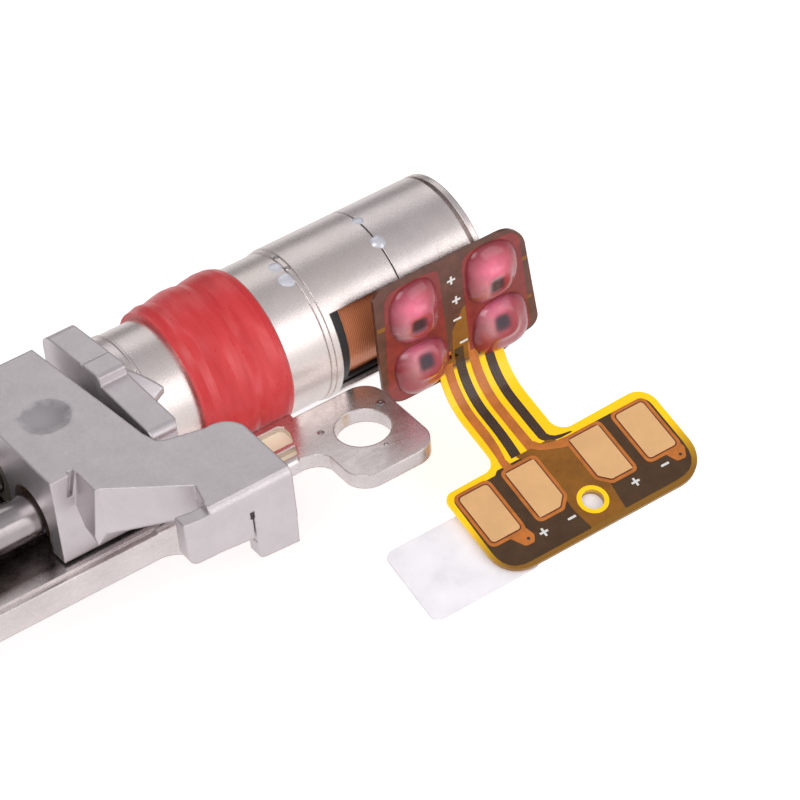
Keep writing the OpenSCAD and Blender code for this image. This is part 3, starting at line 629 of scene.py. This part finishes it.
# Pads on the tab: corner radius, corners
PADS = [
    (0.14, [(8.60, 0.45), (9.65, 0.45), (9.65, 2.25), (8.60, 2.25)]),
    (0.12, [(10.35, 0.45), (11.40, 0.45), (11.40, 1.95), (11.10, 2.25), (10.35, 2.25)]),
    (0.12, [(12.75, 0.45), (13.85, 0.45), (13.85, 2.25), (13.05, 2.25), (12.75, 1.95)]),
    (0.14, [(14.50, 0.45), (15.55, 0.45), (15.55, 2.25), (14.50, 2.25)]),
]


def shapes(table, place, holes=None):
    """Builds a table of flat shapes; holes maps a shape's name to its holes."""
    for name, lift, look, radii, corners in table:
        sheet(name, place(rounded(corners, radii)), lift, look,
              holes=(holes or {}).get(name, ()))


def pad(number, radius, corners):
    """A gold pad within a dark line and a wider copper border."""
    sheet("pad_copper_%d" % number, on_tab(rounded(grown(corners, 0.15), radius + 0.12)),
          lift=0.009, look="film_orange")
    sheet("pad_line_%d" % number, on_tab(rounded(grown(corners, 0.045), radius + 0.04)),
          lift=0.013, look="film_ring")
    sheet("pad_gold_%d" % number, on_tab(rounded(corners, radius)),
          lift=0.022, look="pad_gold")


shapes(TAB_AREAS, on_tab, holes={"tab_mid": [on_tab(disc(*HOLE, HOLE_RADIUS, turn=-1))]})
for number, (radius, corners) in enumerate(PADS, 1):
    pad(number, radius, corners)
shapes(TAB_LEADS, on_tab)
sheet("hole_ring", on_tab(disc(*HOLE, 0.50)), lift=0.010, look="film_yellow",
      holes=[on_tab(disc(*HOLE, HOLE_RADIUS)[::-1])])
for name, x, along in (("via_a", 9.62, 2.66), ("via_b", 15.42, 2.60)):
    sheet(name, on_tab(disc(x, along, 0.055, sides=14)), lift=0.011, look="film_dark")

# White plus and minus marks
ARM = 0.15                           # half the length of either mark
BAR = 0.08                           # width of the minus
HALF = 0.075 / 2                     # half the width of the plus
MINUS = rounded([(-ARM, -BAR / 2), (ARM, -BAR / 2), (ARM, BAR / 2), (-ARM, BAR / 2)], BAR * 0.4)
PLUS = [(-ARM, -HALF), (-HALF, -HALF), (-HALF, -ARM), (HALF, -ARM), (HALF, -HALF), (ARM, -HALF),
        (ARM, HALF), (HALF, HALF), (HALF, ARM), (-HALF, ARM), (-HALF, HALF), (-ARM, HALF)]
# name, shape, x, then distance from the tab's start, or z on the head
TAB_MARKS = [("mark_plus_1", PLUS, 10.15, 2.72), ("mark_minus_1", MINUS, 11.18, 2.74),
             ("mark_plus_2", PLUS, 13.62, 2.70), ("mark_minus_2", MINUS, 14.78, 2.66)]
HEAD_MARKS = [("mark_head_1", PLUS, 11.02, 1.55), ("mark_head_2", PLUS, 11.14, 0.74),
              ("mark_head_3", MINUS, 11.12, 0.02), ("mark_head_4", MINUS, 11.28, -0.92)]
for table, place, lift in ((TAB_MARKS, on_tab, 0.012), (HEAD_MARKS, on_head, 0.006)):
    for name, shape, x, y in table:
        sheet(name, place([(x + dx, y + dy) for dx, dy in shape]), lift, "white_ink")

shapes(HEAD_COPPER, on_head)

# ---------------------------------------------------------------- glue over the pins
# Flat glue on the head: corners (x, z), radii
GLUE_FILMS = [
    ([(8.62, 2.24), (10.60, 2.24), (10.74, -1.98), (8.42, -1.98)], [0.5, 0.4, 0.2, 0.72]),
    ([(11.40, 2.26), (13.55, 2.26), (13.78, -1.66), (12.7, -2.0), (11.5, -1.9)],
     [0.5, 0.6, 0.4, 0.2, 0.3]),
]
# Domes: x from, x to, z from, z to, pin x, pin z
DOMES = [
    (8.74, 10.52, -0.02, 2.22, 9.50, 0.90),
    (8.72, 10.68, -1.94, -0.10, 9.66, -0.62),
    (11.48, 13.42, 0.15, 2.26, 12.38, 0.93),
    (11.60, 13.70, -1.94, 0.06, 12.48, -0.58),
]
DOME_RINGS, DOME_SIDES = 34, 72
DOME_HEIGHT = 0.44
DOME_SINK = -0.01                    # the rim lies this far behind the head's face
# Dome colour, for red, green and blue: body, loss at the edge, gain in the pink area
# above the pin (painted light), pin core
DOME_TINT = [(0.42, 0.18, 0.52, 0.045), (0.035, 0.015, 0.15, 0.016), (0.050, 0.02, 0.26, 0.035)]


def glue_film(number, corners, radii):
    outline = rounded(corners, radii)
    count = len(outline)
    y = -(HEAD_FACE + 0.0045)
    centre = (sum(x for x, _ in outline) / count, y, sum(z for _, z in outline) / count)
    mesh_object("glue_film_%d" % number, [centre] + [(x, y, z) for x, z in outline],
                [(0, 1 + (i + 1) % count, 1 + i) for i in range(count)],
                LOOKS["glue_film"], smooth=False)


def glue_look():
    """Glossy red glue, coloured by the tint attribute."""
    material, tree, shader = new_material("glue_red")
    attribute = add(tree, "Attribute")
    attribute.attribute_name = "tint"
    broad = noise(tree, coords(tree), scale=2.6)
    dimming = remap(tree, broad, (0.35, 0.7), (0.0, 0.2))
    feed(shader, Base_Color=mix(tree, dimming, attribute.outputs["Color"], (0, 0, 0)),
         Roughness=0.20, Coat_Weight=0.55, Coat_Roughness=0.08,
         Subsurface_Weight=0.22, Subsurface_Radius=(0.35 * MM, 0.10 * MM, 0.10 * MM),
         Normal=bump(tree, broad, depth_mm=0.03))
    return material


def bell(value, width, power=2):
    return math.exp(-(value / width) ** power)


def dome_height(x, z, u, pin, phase):
    """Height over the head at fraction u of the dome's reach; pin is the distance to the pin."""
    if u == 1:
        return DOME_SINK
    height = DOME_HEIGHT * (1 - u ** 2.4) ** 0.62
    # the glue stands a little proud round the pin's square end
    height += (0.085 * bell(pin - 0.46, 0.17) - 0.03 * bell(pin, 0.26, 4)) * (1 - u ** 3)
    height += 0.03 * math.sin(2.3 * x + phase) * math.sin(2.9 * z + phase) * (1 - u * u)
    return max(height, DOME_SINK)


def dome_colour(dx, dz, u, pin):
    """Colour at an offset from the pin: pink above it and paler at its left, both painted light,
    dark over its core.
    """
    core = bell(pin, 0.27, 6)
    # painted light: a brighter pink area above the pin
    pink = bell(dx + 0.10, 0.55) * bell(dz - 0.62, 0.42)
    # painted highlight: a paler patch at the pin's left
    left = 0.20 * bell(dx + 0.42, 0.22) * bell(dz + 0.05, 0.45)
    return [(body - loss * u ** 5 + gain * pink + left) * (1 - core) + dark * core
            for body, loss, gain, dark in DOME_TINT]


def glue_dome(number, x_from, x_to, z_from, z_to, pin_x, pin_z, material):
    phase = number * 1.7
    verts, tint = [], []
    for i in range(DOME_RINGS + 1):
        u = 1 if i == DOME_RINGS else math.sin(math.pi / 2 * i / DOME_RINGS)
        for j in range(DOME_SIDES):
            angle = 2 * math.pi * j / DOME_SIDES
            cos_a, sin_a = math.cos(angle), math.sin(angle)
            # a squarish oval with three shallow lobes
            square = (abs(cos_a) ** 2.7 + abs(sin_a) ** 2.7) ** (-1 / 2.7)
            wobble = 1 - 0.06 * (1 + math.sin(3 * angle + phase)) / 2
            x = (x_from + x_to) / 2 + (x_to - x_from) / 2 * square * cos_a * u * wobble
            z = (z_from + z_to) / 2 + (z_to - z_from) / 2 * square * sin_a * u * wobble
            pin = (abs(x - pin_x) ** 3.2 + abs(z - pin_z) ** 3.2) ** (1 / 3.2)
            verts.append((x, -(HEAD_FACE + dome_height(x, z, u, pin, phase)), z))
            tint.append(dome_colour(x - pin_x, z - pin_z, u, pin))
    dome = mesh_object("glue_dome_%d" % number, verts, ring_faces(DOME_RINGS, DOME_SIDES),
                       material, tint=tint)
    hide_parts("glue_domes")


for number, (corners, radii) in enumerate(GLUE_FILMS, 1):
    glue_film(number, corners, radii)
GLUE = glue_look()
for number, station in enumerate(DOMES, 1):
    glue_dome(number, *station, material=GLUE)

# ---------------------------------------------------------------- welds and ear rings
WELD = metal("weld_bead", (0.72, 0.725, 0.80), rough=0.26, grain=12, grain_mm=0.004,
             tone=0.08, metallic=0.35)
HAZE = metal("weld_haze", (0.46, 0.43, 0.42), rough=0.34, grain=12, grain_mm=0.003, tone=0.2)
RING_SIDES, RING_STEPS = 24, 8
# Beads: name, degrees from the can's top towards -Y, x, radius, height, can radius, material
BEADS = [
    ("weld_1", -2, 9.93, 0.20, 0.02, 2.5, WELD),
    ("weld_2", 22.5, 9.93, 0.24, 0.07, 2.5, WELD),
    ("weld_3", 2, 6.82, 0.24, 0.02, 2.43, WELD),
    ("weld_4", 17, 6.80, 0.27, 0.03, 2.43, WELD),
    ("weld_haze_1", 9, 7.07, 0.11, 0.03, 2.47, HAZE),
    ("weld_haze_2", -6, 7.07, 0.10, 0.03, 2.47, HAZE),
]
EAR_TOP = -0.9
# Rings on the ear: x, y, radius
EAR_RINGS = [(7.67, -3.87, 0.15), (5.55, -3.83, 0.11), (6.74, -5.51, 0.07)]


def bead(name, degrees, x, radius, height, can_radius, material):
    """A flat round bead, slightly lobed, wrapped over the can and sunk a little into it."""
    sink = 0.01
    verts = []
    for i in range(RING_STEPS + 1):
        u = i / RING_STEPS
        for j in range(RING_SIDES):
            a = 2 * math.pi * j / RING_SIDES
            reach = radius * u * (1 + 0.05 * math.sin(3 * a + degrees) + 0.02 * math.sin(5 * a))
            out = can_radius - sink + (height + sink) * (1 - u ** 2.6)
            turn = math.radians(degrees) + reach * math.sin(a) / can_radius
            verts.append((x + reach * math.cos(a), -out * math.sin(turn), out * math.cos(turn)))
    mesh_object(name, verts, ring_faces(RING_STEPS, RING_SIDES, flip=True), material)


def ear_ring(number, x, y, radius):
    """A low round ridge on the ear, highest halfway out from its centre."""
    verts = []
    for i in range(RING_STEPS + 1):
        u = i / RING_STEPS
        z = EAR_TOP + 0.03 * math.sin(math.pi * u) ** 2 + 0.001
        verts += [(px, py, z) for px, py in disc(x, y, radius * u, RING_SIDES)]
    mesh_object("ear_pip_%d" % number, verts, ring_faces(RING_STEPS, RING_SIDES),
                LOOKS["polished_steel"])


for row in BEADS:
    bead(*row)
for number, row in enumerate(EAR_RINGS, 1):
    ear_ring(number, *row)


# ---------------------------------------------------------------- world, floor, lights, camera
def studio_world():
    """Soft grey surroundings for light and reflections; plain white to the camera."""
    world = bpy.data.worlds.new("studio")
    bpy.context.scene.world = world
    world.use_nodes = True
    tree = world.node_tree
    direction = add(tree, "TexCoord").outputs["Generated"]
    _, y, z = axes(tree, direction)
    sky = ramp(tree, remap(tree, z, span=(-0.3, 1.0)), [
        (0.0, (0.80, 0.78, 0.78)), (0.26, (0.74, 0.72, 0.72)), (0.45, (0.50, 0.49, 0.49)),
        (0.62, (0.38, 0.37, 0.38)), (0.80, (0.46, 0.45, 0.46)), (1.0, (0.60, 0.59, 0.60))])
    clouds = noise(tree, direction, scale=2.2, detail=2, rough=0.5)
    dimming = remap(tree, clouds, span=(0.45, 0.65), to=(0.0, 0.30))
    sky = mix(tree, dimming, sky, (0.16, 0.15, 0.145))
    # brighter towards -Y
    side = remap(tree, y, span=(-0.8, 0.7), to=(1.55, 0.52))
    sky = mix(tree, 1.0, sky, side, mode="MULTIPLY")
    to_camera = add(tree, "LightPath").outputs["Is Camera Ray"]
    feed(tree.nodes["Background"], Strength=1.0,
         Color=mix(tree, to_camera, sky, (1.0, 1.0, 1.0)))


def white_floor():
    """A floor that is nearly white to the camera and dimmer in bounced light."""
    material, tree, shader = new_material("floor_white")
    to_camera = add(tree, "LightPath").outputs["Is Camera Ray"]
    feed(shader, Roughness=0.9, Specular_IOR_Level=0.0, Emission_Strength=0.52,
         Base_Color=mix(tree, to_camera, (0.25, 0.245, 0.245), (0.97, 0.97, 0.97)),
         Emission_Color=mix(tree, to_camera, (1.45, 1.42, 1.42), (1.0, 1.0, 1.0)))
    half = FLOOR_HALF * MM
    z = (FLOOR_Z + ORIGIN[2]) * MM
    mesh = bpy.data.meshes.new("floor")
    mesh.from_pydata([(-half, -half, z), (half, -half, z), (half, half, z), (-half, half, z)],
                     [], [(0, 1, 2, 3)])
    floor = bpy.data.objects.new("floor", mesh)
    bpy.context.scene.collection.objects.link(floor)
    mesh.materials.append(material)


def area_light(name, location, target, size, power, colour=(1, 1, 1)):
    """A square area light; places and size in mm about the motor axis, power in watts."""
    light = bpy.data.lights.new(name, "AREA")
    light.energy = power
    light.color = colour
    light.size = size * MM
    lamp = bpy.data.objects.new(name, light)
    bpy.context.scene.collection.objects.link(lamp)
    lamp.location = (Vector(location) + Vector(ORIGIN)) * MM
    aim = (Vector(target) - Vector(location)).normalized()
    lamp.rotation_euler = aim.to_track_quat("-Z", "Y").to_euler()


def add_camera():
    data = bpy.data.cameras.new("camera")
    data.sensor_width = 36
    data.lens = 156.48885
    data.clip_start = 0.001
    data.clip_end = 10
    camera = bpy.data.objects.new("camera", data)
    bpy.context.scene.collection.objects.link(camera)
    place = (Vector((-32.74526, -71.97595, 65.49938)) + Vector(ORIGIN)) * MM
    camera.matrix_world = Matrix((
        (0.8168309, 0.4194549, -0.3960365, place.x),
        (-0.5712988, 0.4929434, -0.6562198, place.y),
        (-0.0800310, 0.7622758, 0.6422854, place.z),
        (0, 0, 0, 1)))
    bpy.context.scene.camera = camera


studio_world()
white_floor()
area_light("key", location=(-30, -25, 60), target=(2, -2, 0), size=45, power=0.015)
area_light("fill", location=(40, -60, 35), target=(5, -3, 0), size=55, power=0.012,
           colour=(1.0, 0.985, 0.97))
area_light("back", location=(30, 50, 50), target=(5, 0, 0), size=45, power=0.0046)
add_camera()
bpy.context.scene.view_settings.view_transform = "Standard"
